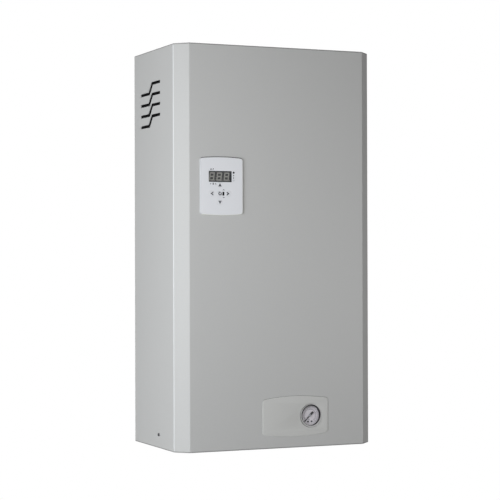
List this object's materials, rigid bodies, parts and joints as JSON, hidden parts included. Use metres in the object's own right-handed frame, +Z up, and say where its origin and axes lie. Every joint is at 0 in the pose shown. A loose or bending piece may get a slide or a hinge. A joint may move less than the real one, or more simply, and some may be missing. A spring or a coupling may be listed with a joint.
{
  "type": "electric heating boiler",
  "caption": "Wall-hung electric heating boiler: bevelled sheet-steel cover with side vents, keypad and display, pressure gauge, heated tank, pump, expansion vessel and wall bracket.",
  "frame": {"origin": "the middle of the two wall bolts' line on the wall plane, at the back of the wall bracket", "axes": "+Z up along the case's height, +Y into the wall, -Y out of the front, +X to the right seen from the front"},
  "size_m": [0.3836, 0.2242, 0.72],
  "materials": {
    "case_paint": "semi-gloss fine-textured powder coat, silver grey",
    "white_plastic": "fine matt moulded plastic",
    "smoked_window": "polished dark acrylic",
    "module_plastic": "matt dark grey with pale segments",
    "circuit_board": "green solder mask",
    "board_plastic": "component housings",
    "zinc_sheet": "galvanised sheet",
    "screw_steel": "blackened steel",
    "bolt_steel": "bright zinc plate",
    "rubber": "matt rubber",
    "stainless": "bright rolled stainless steel",
    "foam": "foamed insulation with a closed skin",
    "gasket_red": "pressed fibre",
    "element_steel": "annealed stainless tube",
    "copper": "drawn copper tube",
    "brass": "turned brass",
    "black_plastic": "moulded black plastic",
    "red_plastic": "moulded red plastic",
    "cast_iron": "coated casting",
    "motor_grey": "sprayed aluminium can",
    "knob_plastic": "moulded grey plastic",
    "vessel_red": "gloss enamel",
    "gauge_black": "black lacquer",
    "dial_face": "printed dial",
    "glass": "clear flat glass",
    "chrome": "polished chrome",
    "aluminium": "extruded aluminium",
    "terminal_plastic": "moulded cream plastic"
  },
  "bodies": {
    "chassis": {"wall_bracket": "zinc_sheet", "back_panel": "zinc_sheet", "base_plate": "zinc_sheet", "wall_buffers": "rubber", "tank_shell": "stainless", "tank_jacket": "foam", "tank_clamps": "zinc_sheet", "flange_gasket": "gasket_red", "heater_plate": "stainless", "heating_elements": "element_steel", "flange_bolts": "bolt_steel", "water_stubs": "brass", "supply_pipe": "copper", "return_pipe": "copper", "pump_pipe": "copper", "union_nuts": "brass", "air_vent": "brass", "safety_valve": "brass", "flow_sensor": "black_plastic", "pump_housing": "cast_iron", "pump_motor": "motor_grey", "pump_box": "black_plastic", "expansion_vessel": "vessel_red", "vessel_straps": "zinc_sheet", "vessel_pipe": "copper", "gauge_bracket": "zinc_sheet", "gauge_case": "gauge_black", "gauge_dial": "dial_face", "gauge_lens": "glass", "gauge_bezel": "chrome", "gauge_capillary": "copper", "electrics_tray": "zinc_sheet", "main_board": "circuit_board", "board_parts": "board_plastic", "contactor": "board_plastic", "power_cooler": "aluminium", "terminal_block": "terminal_plastic", "safety_thermostat": "terminal_plastic", "cable_glands": "black_plastic"},
    "cover": {"cover": "case_paint", "cover_screws": "screw_steel", "badge_plate": "case_paint", "control_bezel": "white_plastic", "control_back": "white_plastic", "display_window": "smoked_window", "display_module": "module_plastic", "keypad_board": "circuit_board", "indicator_lights": "smoked_window"},
    "button_up": {"button_up": "white_plastic"},
    "button_down": {"button_down": "white_plastic"},
    "button_left": {"button_left": "white_plastic"},
    "button_right": {"button_right": "white_plastic"},
    "button_ok": {"button_ok": "white_plastic"},
    "gauge_pointer": {"gauge_pointer": "gauge_black"},
    "pump_rotor": {"pump_rotor": "stainless"},
    "pump_speed_knob": {"pump_speed_knob": "knob_plastic"},
    "safety_valve_knob": {"safety_valve_knob": "red_plastic"},
    "vent_cap": {"vent_cap": "black_plastic"},
    "thermostat_reset": {"thermostat_reset": "red_plastic"},
    "contactor_armature": {"contactor_armature": "knob_plastic"}
  },
  "joints": [
    {"name": "cover_off", "type": "slide", "parent": "chassis", "child": "cover", "axis": [0, -1, 0], "range_m": [0, 0.25]},
    {"name": "button_up_press", "type": "slide", "parent": "cover", "child": "button_up", "axis": [0, 1, 0], "range_m": [0, 0.0006], "stiffness_N_per_m": 2000},
    {"name": "button_down_press", "type": "slide", "parent": "cover", "child": "button_down", "axis": [0, 1, 0], "range_m": [0, 0.0006], "stiffness_N_per_m": 2000},
    {"name": "button_left_press", "type": "slide", "parent": "cover", "child": "button_left", "axis": [0, 1, 0], "range_m": [0, 0.0006], "stiffness_N_per_m": 2000},
    {"name": "button_right_press", "type": "slide", "parent": "cover", "child": "button_right", "axis": [0, 1, 0], "range_m": [0, 0.0006], "stiffness_N_per_m": 2000},
    {"name": "button_ok_press", "type": "slide", "parent": "cover", "child": "button_ok", "axis": [0, 1, 0], "range_m": [0, 0.0006], "stiffness_N_per_m": 2000},
    {"name": "gauge_pointer_turn", "type": "hinge", "parent": "chassis", "child": "gauge_pointer", "pos_m": [0.063, -0.22, -0.5844], "axis": [0, 1, 0], "range_deg": [0, 270]},
    {"name": "pump_rotor_spin", "type": "hinge", "parent": "chassis", "child": "pump_rotor", "pos_m": [0.075, -0.13, -0.505], "axis": [0, 1, 0], "continuous": true},
    {"name": "pump_speed_turn", "type": "hinge", "parent": "chassis", "child": "pump_speed_knob", "pos_m": [0.095, -0.195, -0.505], "axis": [0, 1, 0], "range_deg": [0, 120]},
    {"name": "safety_valve_turn", "type": "hinge", "parent": "chassis", "child": "safety_valve_knob", "pos_m": [-0.035, -0.12, -0.535], "axis": [0, -1, 0], "range_deg": [0, 90]},
    {"name": "vent_cap_turn", "type": "hinge", "parent": "chassis", "child": "vent_cap", "pos_m": [-0.035, -0.045, -0.035], "axis": [0, 0, 1], "range_deg": [0, 360]},
    {"name": "thermostat_reset_press", "type": "slide", "parent": "chassis", "child": "thermostat_reset", "axis": [0, 1, 0], "range_m": [0, 0.0015], "stiffness_N_per_m": 1000},
    {"name": "contactor_pull_in", "type": "slide", "parent": "chassis", "child": "contactor_armature", "axis": [0, 1, 0], "range_m": [0, 0.003], "stiffness_N_per_m": 800}
  ]
}
